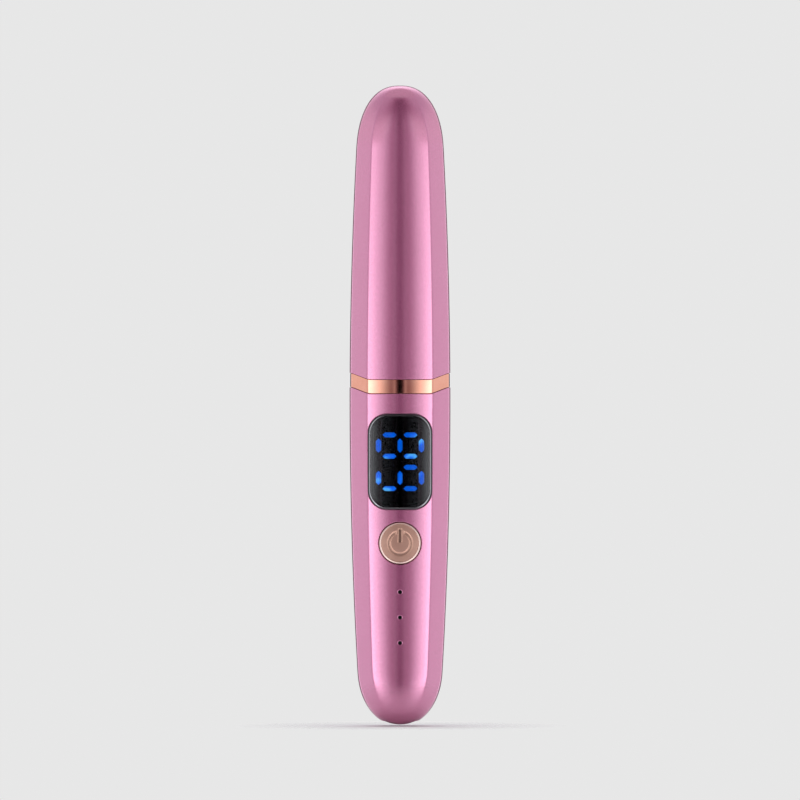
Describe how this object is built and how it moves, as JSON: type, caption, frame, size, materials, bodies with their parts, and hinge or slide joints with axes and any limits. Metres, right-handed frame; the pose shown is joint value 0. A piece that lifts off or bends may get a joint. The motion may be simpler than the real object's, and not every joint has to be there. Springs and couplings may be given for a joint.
{
  "type": "heated eyelash curler",
  "caption": "Pen-shaped rechargeable heated eyelash curler with a ribbed heated comb wand, pull-off cap, display window and push button.",
  "frame": {"origin": "the pole of the handle's foot dome, on the handle's long axis; the charging port opens there", "axes": "+Z along the handle from the foot towards the wand and the cap's crown, -Y out of the front with the display and the button, +X to the right seen from the front"},
  "size_m": [0.0252, 0.0186, 0.1597],
  "materials": {
    "pink_shell": "satin metallic rose-pink lacquer on moulded ABS",
    "rose_gold": "polished rose-gold plating on moulded ABS",
    "black_comb": "satin black heat-resistant nylon",
    "ceramic_heater": "glazed blue-grey ceramic",
    "resistance_wire": "bright nickel-chromium wire",
    "sensor_glass_bead": "amber glass bead",
    "black_nylon": "matte black nylon",
    "screw_steel": "zinc-plated steel",
    "lead_insulation_black": "silicone insulation",
    "lead_insulation_red": "silicone insulation",
    "window_pane": "polished smoke-black PMMA",
    "display_case": "matte black with diffuser face",
    "segment_light": "lit blue diffuser",
    "switch_metal": "stamped steel cover",
    "switch_plunger": "black nylon",
    "light_pipe": "smoked clear acrylic",
    "diode_body": "white with yellow phosphor",
    "board_laminate": "green solder mask on FR-4",
    "chip_epoxy": "black epoxy",
    "carrier_plastic": "natural white ABS",
    "battery_foil": "aluminium laminate pouch",
    "foam_pad": "closed-cell foam",
    "port_steel": "drawn stainless steel"
  },
  "bodies": {
    "handle": {"trim_ring": "rose_gold", "handle_front_shell": "pink_shell", "handle_rear_shell": "pink_shell", "neck_shell": "pink_shell", "comb_front": "black_comb", "comb_back": "black_comb", "heater_rod": "ceramic_heater", "heater_winding": "resistance_wire", "heat_sensor": "sensor_glass_bead", "wand_clamp": "black_nylon", "clamp_screws": "screw_steel", "heater_leads": "lead_insulation_black", "display_window": "window_pane", "window_gasket": "black_nylon", "display_module": "display_case", "display_segments": "segment_light", "tact_switch": "switch_metal", "indicator_pipes": "light_pipe", "indicator_diodes": "diode_body", "main_board": "board_laminate", "board_chips": "chip_epoxy", "board_screws": "screw_steel", "carrier_frame": "carrier_plastic", "battery_cell": "battery_foil", "battery_pad": "foam_pad", "battery_leads": "lead_insulation_red", "usb_shell": "port_steel", "usb_tongue": "black_nylon"},
    "cap": {"cap_shell": "pink_shell"},
    "button": {"power_button": "rose_gold"},
    "plunger": {"switch_plunger": "switch_plunger"}
  },
  "joints": [
    {"name": "cap_slide", "type": "slide", "parent": "handle", "child": "cap", "axis": [0, 0, 1], "range_m": [0, 0.072]},
    {"name": "button_press", "type": "slide", "parent": "handle", "child": "button", "axis": [0, 1, 0], "range_m": [0, 0.00035], "stiffness_N_per_m": 1500, "springref_m": -0.0003},
    {"name": "plunger_press", "type": "slide", "parent": "handle", "child": "plunger", "axis": [0, 1, 0], "range_m": [0, 0.00035]}
  ],
  "couplings": [
    {"joint": "plunger_press", "follows": "button_press", "ratio": 1}
  ]
}
